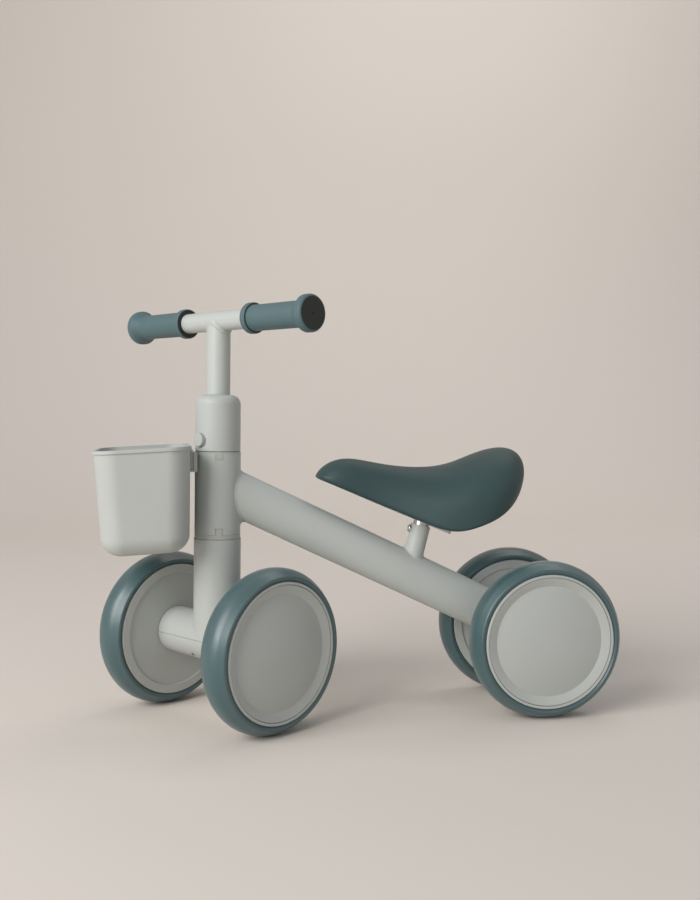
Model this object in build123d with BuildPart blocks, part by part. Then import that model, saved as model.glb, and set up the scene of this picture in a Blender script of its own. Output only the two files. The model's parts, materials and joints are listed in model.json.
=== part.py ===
from build123d import *
import math
import os

# Toddler balance bike on four wheels, with a basket on its head tube. Millimetres.
# +X is forward, +Y left and +Z up. The origin is on the floor, below the middle of the bike's
# length. The steering rests turned to the left by steer_angle.

os.makedirs("parts", exist_ok=True)

# Clearances
fit_gap = 0.05  # between pieces that are pressed, bonded or screwed together
run_gap = 0.05  # radial, shaft in a bush
slide_gap = 0.3  # between pieces that move past each other
end_play = 0.6  # along an axle, between a wheel and its housing
seam_gap = 0.3  # parting line of the axle housing
overcut = 1  # past a face, where one solid cuts another

# Layout
wheelbase = 289
steer_angle = 36
steer_lock = 67.5  # to each side of straight ahead
front_track = 142.8
rear_track = 95.2

# Wheels
wheel_radius = 70
tread_flat_half = 4  # middle of the tread, where the wheel stands
tread_flat_round = 15
tread_edge_drop = 1.8  # corner between tread and side, before it is rounded
tread_edge_half = 8.5
tread_edge_round = 10
ridge_drop = 6.8  # to where the tyre is widest
ridge_half = 16
ridge_round = 2
bead_half = 13  # at the rim, inside the ridge
bead_round = 0.8
tyre_depth = 10.4  # from the tread to the tyre's bore
rib_depth = 1.4  # rib inside the tyre, which sits in the hub's groove
rib_width = 10
lip_span = 29.6  # across the hub's two lips
lip_round = 0.7
disc_margin = 7.9  # rim to the edge of the sunk disc on the inner side
disc_step = 1.5
web_wall = 2.5
barrel_wall = 4
cap_margin = 2.4  # rim to the cap's seat
cap_seat_depth = 4.5
cap_line = 0.25  # fine gap round the cap
cap_sink = 0.3  # cap's edge below the hub's lip
band_margin = 10.6  # rim to the inner edge of the cap's sloping band
band_drop = 3.7
dome_rise = 5.7
cap_wall = 2.2
spigot_wall = 2.1
spigot_length = 6
boss_radius = 12
boss_length = 19.3
boss_root_round = 2

# Axles
axle_radius = 5
axle_reach = 13  # past the wheel's middle plane
bush_wall = 1.9
bush_length = 9
bush_flange = 1.2
bush_flange_radius = 9
washer_radius = 10
washer_thickness = 1
nut_flats = 16
nut_height = 4
axle_sleeve_wall = 3

# Fork
fork_radius = 20.6
fork_rise = 89  # top of the column, above the axle
cover_screw_spread = 30  # along the axle
cover_screw_spacing = 23.6  # fore and aft
cover_screw_seat = 9  # below the axle
cover_screw_reach = 8  # above the axle
screw_radius = 1.9
screw_head_radius = 3.3
screw_head_height = 2.4

# Head tube and its bushes
head_radius = 20.1
head_wall = 2.1
head_length = 70.7
head_edge_round = 0.4
lower_flange = 3.9
upper_flange = 1.3
head_bush_length = 18
key_width = 6
key_height = 5.4
key_gap = 0.25
stop_circle = 15.5
stop_pin_radius = 2
stop_pin_root = 9
stop_pin_engaged = 1.9

# Steerer, collar and release button
steerer_radius = 12.5
steerer_root = 67  # inside the fork's column
steerer_reach = 26.5  # inside the collar
collar_radius = 19.75
collar_height = 49.5
collar_shoulder = 8.6
collar_edge_round = 0.8
button_rise = 9.9  # above the collar's base
button_radius = 5.8
button_proud = 3.2
button_travel = 2
button_edge_round = 0.9
button_flange_radius = 6.8
button_flange = 1.1
button_shoulder = 16.4  # distance of the collar's inner shoulder from the steering axis
button_stalk_radius = 3.9
leaf_thickness = 0.6
leaf_width = 6
leaf_bend = 2
leaf_set_back = 1.15  # inside the stem's bore, so that the flat strip clears its curve
leaf_pad = 5.5  # half length of the straight pad behind the button
leaf_rise = 24

# Handlebar
stem_radius = 10.4
stem_wall = 1.5
stem_sink = 5.5  # below the collar's base
bar_rise = 64.5  # above the collar's top
bar_radius = 8.7
bar_wall = 1.5
bar_half_length = 113.5
grip_start = 42
grip_radius = 11.1
grip_inner_flange_radius = 13.3
grip_inner_flange = 6
grip_end_radius = 15.5
grip_end_flange = 7
grip_flare = 6
grip_end_wall = 3.4
grip_end_round = 3
grip_edge_round = 1.2
grip_vent_radius = 1

# Main tube, seat tube and welds
main_radius = 19.75  # half its height; the tube is oval
main_flat = 5.3  # half its width is less by this
main_wall = 2
main_drop = 28.1  # head tube's top to where the centre line meets the steering axis
seat_station = 114.3  # ahead of the rear axle, where the seat tube meets that centre line
seat_lean = 13.8
seat_tube_radius = 9
seat_tube_wall = 1.5
seat_tube_foot = 7  # above the centre line, inside the main tube
seat_tube_top = 45.8
seat_slot_width = 4
seat_slot_depth = 7
rear_tube_radius = 20
rear_tube_wall = 2.5
plug_flange = 1.5
plug_length = 12
weld_rise = 1.1
weld_leg = 4.5
small_weld_leg = 2.5

# Saddle and its post
post_wall = 1.4
post_foot = 13
post_rise = 2.7  # bare post between the tube's top and the plate, on the axis
seat_slope = 22.6
plate_length = 58
plate_width = 40
plate_thickness = 4
plate_ahead = 4  # plate's middle ahead of the post
plate_round = 6
seat_screw_spread = 44
seat_screw_spacing = 26
seat_screw_reach = 14
snap_below_top = 5
snap_radius = 3.4
snap_proud = 2.2
snap_travel = 2.2
snap_flange_radius = 4.4
snap_flange = 1.3
snap_flange_base = 2
snap_edge_round = 1.2
snap_leaf_width = 5
snap_leaf_pad = 3.5
snap_leaf_drop = 20
snap_leaf_set_back = 1
saddle_nose = 106.3  # ahead of the post, along the saddle's base
# Stations of the saddle: back from the nose, half width, underside and crown above the base.
saddle_stations = [
    (0, 9, 0.8, 8),
    (4, 16, 0, 15.5),
    (17, 21.5, 0, 26.1),
    (49, 25, 0, 34.7),
    (85, 36, 0, 46.3),
    (110, 46.5, 0.6, 61),
    (129, 52, 5.5, 78.6),
    (148, 53, 20, 92.4),
    (162, 46.5, 35, 94.3),
    (171.5, 33, 51, 87.6),
    (176, 17, 62, 78.5),
]
saddle_shoulder = 0.9  # share of the half width where the crown's arc ends
saddle_crown = 0.62  # drop of that arc, as a share of the half width
saddle_skirt = 0.97  # half width at the underside, as a share

# Basket, its hook and the hanger on the head tube
hanger_gap = 5.4
hanger_drop = 16.1  # hanger's foot below the head tube's top
hanger_height = 16.8
hanger_half_width = 16
hanger_pad = 1.8
hanger_seat = 18.6  # flat back of the pad, from the steering axis
hanger_leg = 0.9
hanger_leg_inner = 7.5
hanger_floor = 1.8
hanger_screw_spread = 8.6
hook_thickness = 1.8
hook_inner = 8.3
hook_outer = 15
hook_finger = 2
hook_plate_drop = 15
rivet_radius = 1.6
rivet_head_radius = 2.5
rivet_head = 0.9
rivet_spread = 7.4
rivet_below_finger = 8
basket_rim_rise = 23.2  # above the hanger's foot
basket_depth = 79.5
basket_width = 110
basket_clearance = 12  # below its floor, to the top of the wheels
basket_tilt = 3.5  # also the taper of its back and sides
basket_front_taper = 1.1
basket_corner = 19
basket_floor_round = 16
basket_wall = 2.2
basket_lip = 1
basket_lip_height = 3
basket_lip_round = 0.45

# Worked out from the sizes above
tilt = math.radians(basket_tilt)
front_taper = math.radians(basket_front_taper)
basket_reach = head_radius + hanger_gap + (basket_depth + basket_lip) * math.cos(tilt)
overall_length = wheel_radius + wheelbase + basket_reach
rear_axle_x = wheel_radius - overall_length / 2
steer_x = rear_axle_x + wheelbase

up = Vector(0, 0, 1)
left = Vector(0, 1, 0)
forward = Vector(1, 0, 0)
steer = math.radians(steer_angle)
steer_forward = Vector(math.cos(steer), math.sin(steer), 0)
steer_left = Vector(-math.sin(steer), math.cos(steer), 0)
rear_axle = Vector(rear_axle_x, 0, wheel_radius)
front_axle_centre = Vector(steer_x, 0, wheel_radius)

lip = lip_span / 2
disc_face = lip - disc_step
rib_half = rib_width / 2
tread_edge_radius = wheel_radius - tread_edge_drop
ridge_radius = wheel_radius - ridge_drop
rim_radius = wheel_radius - tyre_depth
disc_radius = rim_radius - disc_margin
barrel_radius = rim_radius - barrel_wall
cap_seat_radius = rim_radius - cap_margin
band_radius = rim_radius - band_margin
hub_radius = rim_radius - fit_gap
bush_bore = axle_radius + run_gap
bush_radius = bush_bore + bush_wall
hub_bore = bush_radius + fit_gap
boss_top = boss_length - disc_face
washer_base = boss_top + bush_flange + slide_gap
housing_half = front_track / 2 - disc_face - end_play
rear_plug_face = rear_track / 2 - disc_face - end_play
rear_tube_half = rear_plug_face - plug_flange
sleeve_radius = axle_radius + fit_gap + axle_sleeve_wall

fork_top = wheel_radius + fork_rise
steerer_base = fork_top - steerer_root
lower_flange_base = fork_top + slide_gap
head_base = lower_flange_base + lower_flange
head_top = head_base + head_length
collar_base = head_top + upper_flange + slide_gap
collar_top = collar_base + collar_height
steerer_top = collar_base + steerer_reach
button_height = collar_base + button_rise
stem_base = collar_base - stem_sink
bar_height = collar_top + bar_rise
main_head_height = head_top - main_drop
hanger_base_height = head_top - hanger_drop
basket_rim_height = hanger_base_height + basket_rim_rise
basket_height = basket_rim_height - 2 * wheel_radius - basket_clearance
head_bush_radius = head_radius - head_wall - fit_gap
steerer_run = steerer_radius + run_gap
steerer_bore = stem_radius + fit_gap
stem_bore = stem_radius - stem_wall
stalk_end = stem_bore - leaf_set_back

main_direction = (Vector(steer_x, 0, main_head_height) - rear_axle).normalized()
main_length = wheelbase / main_direction.X
seat_foot = rear_axle + main_direction * (seat_station / main_direction.X)
lean = math.radians(seat_lean)
seat_axis = Vector(-math.sin(lean), 0, math.cos(lean))
seat_front = Vector(math.cos(lean), 0, math.sin(lean))
seat_tube_bore = seat_tube_radius - seat_tube_wall
post_radius = seat_tube_bore - fit_gap
slope = math.radians(seat_slope)
base_forward = Vector(math.cos(slope), 0, math.sin(slope))
base_normal = Vector(-math.sin(slope), 0, math.cos(slope))
post_top = seat_foot + seat_axis * (seat_tube_top + post_rise)
seat_base = Plane(origin=post_top, x_dir=base_forward, z_dir=base_normal)

basket_back = steer_x + head_radius + hanger_gap
hanger_top = hanger_base_height + hanger_height
hanger_face = steer_x + head_radius + hanger_pad
hook_back = hanger_face + slide_gap
leg_back = hook_back + hook_thickness + slide_gap
finger_base = hanger_top + slide_gap
basket_plane = Plane(
    origin=(basket_back, 0, basket_rim_height),
    x_dir=(math.cos(tilt), 0, -math.sin(tilt)),
    z_dir=(math.sin(tilt), 0, math.cos(tilt)),
)


def write(piece, name):
    piece.part.label = name
    export_step(piece.part, f"parts/{name}.step")


def section_plane(centre, along, radial=up):
    # Local x runs out from the axis and local y runs along it.
    return Plane(origin=centre, x_dir=radial, z_dir=radial.cross(along))


def cross_plane(centre, along, across=None):
    # Square to the axis, with local z along it.
    if across is None:
        across = forward if abs(along.Y) > 0.9 else left
    return Plane(origin=centre, x_dir=across, z_dir=along)


def turned(planes, profile):
    # Revolves (radius, along, rounding) corners about each plane's y axis.
    points = [(radius, along) for radius, along, rounding in profile]
    rounds = [rounding for radius, along, rounding in profile]
    with BuildPart() as piece:
        for plane in planes:
            with BuildSketch(plane):
                with BuildLine():
                    FilletPolyline(*points, radius=rounds, close=True)
                make_face()
            revolve(axis=Axis(plane.origin, plane.y_dir))
    return piece


def rod(centre, along, radius, start, end, flat=0):
    # Round, or oval where flat makes it narrower across.
    with BuildPart() as piece:
        with BuildSketch(cross_plane(centre + along * start, along)):
            Ellipse(radius - flat, radius) if flat else Circle(radius)
        extrude(amount=end - start)
    return piece


def pipe(centre, along, radius, bore, start, end, flat=0):
    inside = rod(centre, along, bore, start, end, flat)
    with BuildPart() as piece:
        add(rod(centre, along, radius, start, end, flat).part)
        add(inside.part, mode=Mode.SUBTRACT)
    return piece


def leaf_spring(plane, path, width):
    # A thin strip bent along the path, as wide as given to both sides of the plane.
    with BuildPart() as piece:
        with BuildSketch(plane):
            with BuildLine() as line:
                FilletPolyline(*path, radius=leaf_bend)
            trace(line.edges(), leaf_thickness)
        extrude(amount=width / 2, both=True)
    return piece


def make_wheel(name, centre, outward):
    plane = section_plane(centre, outward)
    axis = Axis(plane.origin, plane.y_dir)

    with BuildPart() as tyre:
        with BuildSketch(plane):
            with BuildLine():
                FilletPolyline(
                    (wheel_radius, tread_flat_half),
                    (tread_edge_radius, tread_edge_half),
                    (ridge_radius, ridge_half),
                    (rim_radius, bead_half),
                    (rim_radius, rib_half),
                    (rim_radius - rib_depth, rib_half),
                    (rim_radius - rib_depth, -rib_half),
                    (rim_radius, -rib_half),
                    (rim_radius, -bead_half),
                    (ridge_radius, -ridge_half),
                    (tread_edge_radius, -tread_edge_half),
                    (wheel_radius, -tread_flat_half),
                    radius=[
                        tread_flat_round,
                        tread_edge_round,
                        ridge_round,
                        bead_round,
                        0,
                        0,
                        0,
                        0,
                        bead_round,
                        ridge_round,
                        tread_edge_round,
                        tread_flat_round,
                    ],
                    close=True,
                )
            make_face()
        revolve(axis=axis)
    write(tyre, f"{name}_tyre")

    groove_half = rib_half + fit_gap
    groove_radius = rim_radius - rib_depth - fit_gap
    flange_seat = bush_flange_radius + fit_gap
    hub = turned(
        [plane],
        [
            (hub_bore, bush_flange - disc_face, 0),
            (flange_seat, bush_flange - disc_face, 0),
            (flange_seat, -disc_face, 0),
            (disc_radius, -disc_face, lip_round),
            (disc_radius, -lip, lip_round),
            (hub_radius, -lip, lip_round),
            (hub_radius, -groove_half, 0),
            (groove_radius, -groove_half, 0),
            (groove_radius, groove_half, 0),
            (hub_radius, groove_half, 0),
            (hub_radius, lip, lip_round),
            (cap_seat_radius, lip, lip_round / 2),
            (cap_seat_radius, lip - cap_seat_depth, 0),
            (barrel_radius, lip - cap_seat_depth, 0),
            (barrel_radius, web_wall - disc_face, boss_root_round),
            (boss_radius, web_wall - disc_face, boss_root_round),
            (boss_radius, boss_top, 0),
            (hub_bore, boss_top, 0),
        ],
    )
    write(hub, f"{name}_hub")

    cap_radius = cap_seat_radius - cap_line
    cap_seat = lip - cap_seat_depth + fit_gap
    band_face = lip - band_drop
    dome_top = band_face + dome_rise
    spigot_radius = barrel_radius - fit_gap
    with BuildPart() as hub_cap:
        with BuildSketch(plane):
            with BuildLine():
                dome = TangentArc((0, dome_top), (band_radius, band_face), tangent=(1, 0))
                inside = TangentArc(
                    (0, dome_top - cap_wall), (band_radius, band_face - cap_wall), tangent=(1, 0)
                )
                FilletPolyline(
                    dome @ 1,
                    (cap_radius, lip - cap_sink),
                    (cap_radius, cap_seat),
                    (spigot_radius, cap_seat),
                    (spigot_radius, cap_seat - spigot_length),
                    (spigot_radius - spigot_wall, cap_seat - spigot_length),
                    (spigot_radius - spigot_wall, band_face - cap_wall),
                    inside @ 1,
                    radius=[lip_round, 0, 0, 0, 0, 0],
                )
                Line(dome @ 0, inside @ 0)
            make_face()
        revolve(axis=axis)
    write(hub_cap, f"{name}_hub_cap")

    with BuildPart() as bushes:
        for face, inward in ((-disc_face, 1), (boss_top + bush_flange, -1)):
            with BuildSketch(plane):
                with BuildLine():
                    Polyline(
                        (bush_bore, face),
                        (bush_flange_radius, face),
                        (bush_flange_radius, face + inward * bush_flange),
                        (bush_radius, face + inward * bush_flange),
                        (bush_radius, face + inward * (bush_flange + bush_length)),
                        (bush_bore, face + inward * (bush_flange + bush_length)),
                        close=True,
                    )
                make_face()
            revolve(axis=axis)
    write(bushes, f"{name}_bushes")


def make_axle_set(name, centre, along, track):
    # Axle rod with a washer and a nut on each end, under the hub caps.
    reach = track / 2 + axle_reach
    axle = turned(
        [section_plane(centre, along)],
        [(0, -reach, 0), (axle_radius, -reach, 1), (axle_radius, reach, 1), (0, reach, 0)],
    )
    write(axle, f"{name}_axle")

    seats = [centre + along * (side * (track / 2 + washer_base)) for side in (1, -1)]
    outwards = [along, -along]
    with BuildPart() as washers:
        for seat, outward in zip(seats, outwards):
            with BuildSketch(cross_plane(seat, outward, up)):
                Circle(washer_radius)
                Circle(axle_radius + fit_gap, mode=Mode.SUBTRACT)
            extrude(amount=washer_thickness)
    write(washers, f"{name}_axle_washers")

    with BuildPart() as nuts:
        for seat, outward in zip(seats, outwards):
            with BuildSketch(cross_plane(seat + outward * washer_thickness, outward, up)):
                RegularPolygon(nut_flats / 2, 6, major_radius=False)
                Circle(axle_radius + fit_gap, mode=Mode.SUBTRACT)
            extrude(amount=nut_height)
    write(nuts, f"{name}_axle_nuts")


def weld(name, tube, carrier, leg):
    # A raised bead round the tube's end, as far up the tube as the weld's leg.
    root, along, tube_radius, start, end, tube_flat = tube
    spot, across, carrier_radius, carrier_flat = carrier
    bead = rod(root, along, tube_radius + weld_rise, start, end, tube_flat)
    reach = 2 * (tube_radius + carrier_radius)
    skin = rod(spot, across, carrier_radius + leg, -reach, reach, carrier_flat)
    core = rod(spot, across, carrier_radius + fit_gap, -reach, reach, carrier_flat)
    tube_cut = rod(
        root, along, tube_radius + fit_gap, start - overcut, end + overcut, tube_flat
    )
    with BuildPart() as piece:
        add(bead.part)
        add(skin.part, mode=Mode.INTERSECT)
        add(core.part, mode=Mode.SUBTRACT)
        add(tube_cut.part, mode=Mode.SUBTRACT)
    write(piece, name)


# Wheels and axles
for side, outward_sign in (("left", 1), ("right", -1)):
    front_out = steer_left * outward_sign
    rear_out = left * outward_sign
    make_wheel(f"front_{side}", front_axle_centre + front_out * (front_track / 2), front_out)
    make_wheel(f"rear_{side}", rear_axle + rear_out * (rear_track / 2), rear_out)
make_axle_set("front", front_axle_centre, steer_left, front_track)
make_axle_set("rear", rear_axle, left, rear_track)

# Fork: a column on the upper half of the axle housing, and the lower half as a cover
housing_plane = Plane(origin=front_axle_centre, x_dir=steer_forward, z_dir=-steer_left)
cover_screw_spots = GridLocations(cover_screw_spacing, cover_screw_spread, 2, 2)


def steer_level(height):
    return Plane(origin=(steer_x, 0, height), x_dir=steer_forward, z_dir=up)


with BuildPart() as fork:
    with BuildSketch(steer_level(wheel_radius + seam_gap / 2)):
        Circle(fork_radius)
    extrude(amount=fork_top - wheel_radius - seam_gap / 2)
    with BuildSketch(housing_plane):
        Circle(fork_radius)
        with Locations((0, seam_gap / 2)):
            Rectangle(
                2 * fork_radius, fork_radius, align=(Align.CENTER, Align.MIN), mode=Mode.INTERSECT
            )
    extrude(amount=housing_half, both=True)
    with BuildSketch(housing_plane):
        Circle(sleeve_radius + fit_gap)
    extrude(amount=housing_half, both=True, mode=Mode.SUBTRACT)
    with BuildSketch(steer_level(steerer_base)):
        Circle(steerer_radius + fit_gap)
    extrude(amount=fork_top - steerer_base, mode=Mode.SUBTRACT)
    with BuildSketch(steer_level(fork_top)):
        with Locations((-stop_circle, 0)):
            Circle(stop_pin_radius + fit_gap)
    extrude(amount=-stop_pin_root, mode=Mode.SUBTRACT)
    with BuildSketch(steer_level(wheel_radius)):
        with cover_screw_spots:
            Circle(screw_radius + fit_gap)
    extrude(amount=cover_screw_reach + fit_gap, mode=Mode.SUBTRACT)
write(fork, "fork")

with BuildPart() as fork_axle_cover:
    with BuildSketch(housing_plane):
        Circle(fork_radius)
        with Locations((0, -seam_gap / 2)):
            Rectangle(
                2 * fork_radius, fork_radius, align=(Align.CENTER, Align.MAX), mode=Mode.INTERSECT
            )
        Circle(sleeve_radius + fit_gap, mode=Mode.SUBTRACT)
    extrude(amount=housing_half, both=True)
    with BuildSketch(steer_level(wheel_radius)):
        with cover_screw_spots:
            Circle(screw_radius + fit_gap)
    extrude(amount=-cover_screw_seat, mode=Mode.SUBTRACT)
    with BuildSketch(steer_level(wheel_radius - cover_screw_seat)):
        with cover_screw_spots:
            Circle(screw_head_radius + slide_gap)
    extrude(amount=-fork_radius, mode=Mode.SUBTRACT)
write(fork_axle_cover, "fork_axle_cover")

with BuildPart() as fork_cover_screws:
    with BuildSketch(steer_level(wheel_radius - cover_screw_seat)):
        with cover_screw_spots:
            Circle(screw_head_radius)
    extrude(amount=-screw_head_height)
    with BuildSketch(steer_level(wheel_radius - cover_screw_seat)):
        with cover_screw_spots:
            Circle(screw_radius)
    extrude(amount=cover_screw_seat + cover_screw_reach)
write(fork_cover_screws, "fork_cover_screws")

front_axle_sleeve = pipe(
    front_axle_centre, steer_left, sleeve_radius, axle_radius + fit_gap, -housing_half, housing_half
)
write(front_axle_sleeve, "front_axle_sleeve")

steering_stop_pin = rod(
    Vector(steer_x, 0, fork_top) - steer_forward * stop_circle,
    up,
    stop_pin_radius,
    -stop_pin_root,
    slide_gap + stop_pin_engaged,
)
write(steering_stop_pin, "steering_stop_pin")

# Head tube, with a notch for each bush's keys, and the two bushes
head_axis = Vector(steer_x, 0, 0)
screw_heights = [
    hanger_base_height + hanger_height / 2 + side * hanger_screw_spread / 2 for side in (1, -1)
]
screw_planes = [section_plane(Vector(steer_x, 0, height), forward) for height in screw_heights]
screw_tip = head_bush_radius + 2 * fit_gap
hanger_screw_face = head_radius + hanger_pad

with BuildPart() as head_tube:
    with BuildSketch(Plane.XY.offset(head_base)):
        with Locations((steer_x, 0)):
            Circle(head_radius)
            Circle(head_radius - head_wall, mode=Mode.SUBTRACT)
    extrude(amount=head_length)
    rims = head_tube.edges().filter_by(GeomType.CIRCLE).group_by(SortBy.RADIUS)[-1]
    fillet(rims, head_edge_round)
    with Locations((steer_x, 0, head_base), (steer_x, 0, head_top)):
        Box(
            key_width + 2 * key_gap,
            3 * head_radius,
            2 * (key_height + key_gap),
            mode=Mode.SUBTRACT,
        )
    for height in screw_heights:
        with BuildSketch(cross_plane(Vector(steer_x, 0, height), forward)):
            Circle(screw_radius + fit_gap)
        extrude(amount=2 * head_radius, mode=Mode.SUBTRACT)
write(head_tube, "head_tube")


def make_head_bush(name, flange_face, outward, flange, slotted):
    # outward points from the head tube to the flange's free face.
    flange_free = flange_face + outward * flange
    sleeve_end = flange_face - outward * head_bush_length
    with BuildPart() as bush:
        with BuildSketch(section_plane(head_axis, up, forward)):
            with BuildLine():
                Polyline(
                    (steerer_run, flange_free),
                    (head_radius, flange_free),
                    (head_radius, flange_face),
                    (head_bush_radius, flange_face),
                    (head_bush_radius, sleeve_end),
                    (steerer_run, sleeve_end),
                    close=True,
                )
            make_face()
        revolve(axis=Axis(head_axis, up))
        with BuildSketch(Plane(origin=(steer_x, 0, flange_face), z_dir=up)):
            Circle(head_radius)
            Circle(head_bush_radius - overcut, mode=Mode.SUBTRACT)
            Rectangle(key_width, 3 * head_radius, mode=Mode.INTERSECT)
        extrude(amount=-outward * key_height)
        if slotted:
            # The steering stop's pin runs in this slot, open at the flange's free face.
            with BuildSketch(Plane(origin=(steer_x, 0, flange_free), z_dir=up)):
                with BuildLine(mode=Mode.PRIVATE):
                    sweep_line = CenterArc((0, 0), stop_circle, 180 - steer_lock, 2 * steer_lock)
                SlotArc(sweep_line, 2 * (stop_pin_radius + slide_gap))
            extrude(amount=stop_pin_engaged + slide_gap, mode=Mode.SUBTRACT)
    write(bush, name)


make_head_bush("lower_head_bush", head_base, -1, lower_flange, slotted=True)
make_head_bush("upper_head_bush", head_top, 1, upper_flange, slotted=False)

# Steerer, collar, release button and its leaf spring
button_plane = cross_plane(Vector(steer_x, 0, button_height), steer_forward, steer_left)
button_hole = button_radius + slide_gap
stalk_hole = button_stalk_radius + slide_gap

with BuildPart() as steerer_tube:
    with BuildSketch(steer_level(steerer_base)):
        Circle(steerer_radius)
        Circle(steerer_bore, mode=Mode.SUBTRACT)
    extrude(amount=steerer_top - steerer_base)
    with BuildSketch(button_plane):
        Circle(stalk_hole)
    extrude(amount=collar_radius, mode=Mode.SUBTRACT)
write(steerer_tube, "steerer_tube")

collar_body = turned(
    [section_plane(head_axis, up, steer_forward)],
    [
        (steerer_radius + fit_gap, collar_base, 0),
        (collar_radius, collar_base, collar_edge_round),
        (collar_radius, collar_top, collar_shoulder),
        (stem_radius + fit_gap, collar_top, 0),
        (stem_radius + fit_gap, steerer_top + fit_gap, 0),
        (steerer_radius + fit_gap, steerer_top + fit_gap, 0),
    ],
)
with BuildPart() as collar:
    add(collar_body.part)
    with BuildSketch(button_plane):
        Circle(button_hole)
    extrude(amount=2 * collar_radius, mode=Mode.SUBTRACT)
    with BuildSketch(button_plane):
        Circle(button_flange_radius + slide_gap)
    extrude(amount=button_shoulder, mode=Mode.SUBTRACT)
write(collar, "collar")

flange_top = button_shoulder - slide_gap
release_button = turned(
    [section_plane(Vector(steer_x, 0, button_height), steer_forward)],
    [
        (0, stalk_end, 0),
        (button_stalk_radius, stalk_end, 0),
        (button_stalk_radius, flange_top - button_flange, 0),
        (button_flange_radius, flange_top - button_flange, 0),
        (button_flange_radius, flange_top, 0),
        (button_radius, flange_top, 0),
        (button_radius, collar_radius + button_proud, button_edge_round),
        (0, collar_radius + button_proud, 0),
    ],
)
write(release_button, "release_button")

leaf_half = leaf_thickness / 2
pad = stalk_end - fit_gap - leaf_half
release_spring = leaf_spring(
    Plane(origin=(steer_x, 0, button_height), x_dir=steer_forward, z_dir=-steer_left),
    [(pad, -leaf_pad), (pad, leaf_pad), (0, leaf_rise), (-stalk_end, leaf_pad), (-stalk_end, -leaf_pad)],
    leaf_width,
)
write(release_spring, "release_spring")

# Handlebar
bar_centre = Vector(steer_x, 0, bar_height)
with BuildPart() as handlebar_stem:
    with BuildSketch(steer_level(stem_base)):
        Circle(stem_radius)
        Circle(stem_bore, mode=Mode.SUBTRACT)
    extrude(amount=bar_height - stem_base)
    with BuildSketch(cross_plane(bar_centre, steer_left, steer_forward)):
        Circle(bar_radius + fit_gap)
    extrude(amount=2 * stem_radius, both=True, mode=Mode.SUBTRACT)
    with BuildSketch(button_plane):
        Circle(stalk_hole)
    extrude(amount=collar_radius, mode=Mode.SUBTRACT)
write(handlebar_stem, "handlebar_stem")

handlebar_bar = pipe(
    bar_centre, steer_left, bar_radius, bar_radius - bar_wall, -bar_half_length, bar_half_length
)
write(handlebar_bar, "handlebar_bar")

weld(
    "handlebar_weld",
    (bar_centre, -up, stem_radius, bar_radius / 3, 3 * bar_radius, 0),
    (bar_centre, steer_left, bar_radius, 0),
    small_weld_leg,
)

grip_end = bar_half_length + fit_gap + grip_end_wall
grip_profile = [
    (bar_radius + fit_gap, grip_start, 0),
    (grip_inner_flange_radius, grip_start, grip_edge_round),
    (grip_inner_flange_radius, grip_start + grip_inner_flange, grip_edge_round),
    (grip_radius, grip_start + grip_inner_flange, grip_edge_round / 2),
    (grip_radius, grip_end - grip_end_flange - grip_flare, grip_flare),
    (grip_end_radius, grip_end - grip_end_flange, grip_edge_round),
    (grip_end_radius, grip_end, grip_end_round),
    (grip_vent_radius, grip_end, 0),
    (grip_vent_radius, bar_half_length + fit_gap, 0),
    (bar_radius + fit_gap, bar_half_length + fit_gap, 0),
]
for side, outward_sign in (("left", 1), ("right", -1)):
    grip = turned([section_plane(bar_centre, steer_left * outward_sign)], grip_profile)
    write(grip, f"{side}_grip")

# Main tube, seat tube, rear axle tube and their welds
seat_hole = rod(
    seat_foot, seat_axis, seat_tube_radius + fit_gap, seat_tube_foot - fit_gap, seat_tube_top
)
head_cut = rod(head_axis, up, head_radius + fit_gap, 0, head_top + head_length)
rear_cut = rod(rear_axle, left, rear_tube_radius + fit_gap, -rear_tube_half, rear_tube_half)
main_blank = pipe(
    rear_axle, main_direction, main_radius, main_radius - main_wall, 0, main_length, main_flat
)
with BuildPart() as main_tube:
    add(main_blank.part)
    add(head_cut.part, mode=Mode.SUBTRACT)
    add(rear_cut.part, mode=Mode.SUBTRACT)
    add(seat_hole.part, mode=Mode.SUBTRACT)
write(main_tube, "main_tube")

rear_axle_tube = pipe(
    rear_axle,
    left,
    rear_tube_radius,
    rear_tube_radius - rear_tube_wall,
    -rear_tube_half,
    rear_tube_half,
)
write(rear_axle_tube, "rear_axle_tube")

rear_axle_plugs = turned(
    [section_plane(rear_axle, left), section_plane(rear_axle, -left)],
    [
        (axle_radius + fit_gap, rear_plug_face, 0),
        (rear_tube_radius, rear_plug_face, 0.5),
        (rear_tube_radius, rear_tube_half, 0),
        (rear_tube_radius - rear_tube_wall - fit_gap, rear_tube_half, 0),
        (rear_tube_radius - rear_tube_wall - fit_gap, rear_plug_face - plug_length, 0),
        (axle_radius + fit_gap, rear_plug_face - plug_length, 0),
    ],
)
write(rear_axle_plugs, "rear_axle_plugs")

snap_height = seat_tube_top - snap_below_top
snap_plane = cross_plane(seat_foot + seat_axis * snap_height, seat_front)
seat_blank = pipe(
    seat_foot, seat_axis, seat_tube_radius, seat_tube_bore, seat_tube_foot, seat_tube_top
)
slot_plane = cross_plane(seat_foot + seat_axis * seat_tube_top, seat_axis, seat_front)
with BuildPart() as seat_tube:
    add(seat_blank.part)
    with BuildSketch(slot_plane):
        with Locations((-seat_tube_radius, 0)):
            Rectangle(2 * seat_tube_bore, seat_slot_width)
    extrude(amount=-seat_slot_depth, mode=Mode.SUBTRACT)
    with BuildSketch(snap_plane):
        Circle(snap_radius + slide_gap)
    extrude(amount=2 * seat_tube_radius, mode=Mode.SUBTRACT)
write(seat_tube, "seat_tube")

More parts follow.
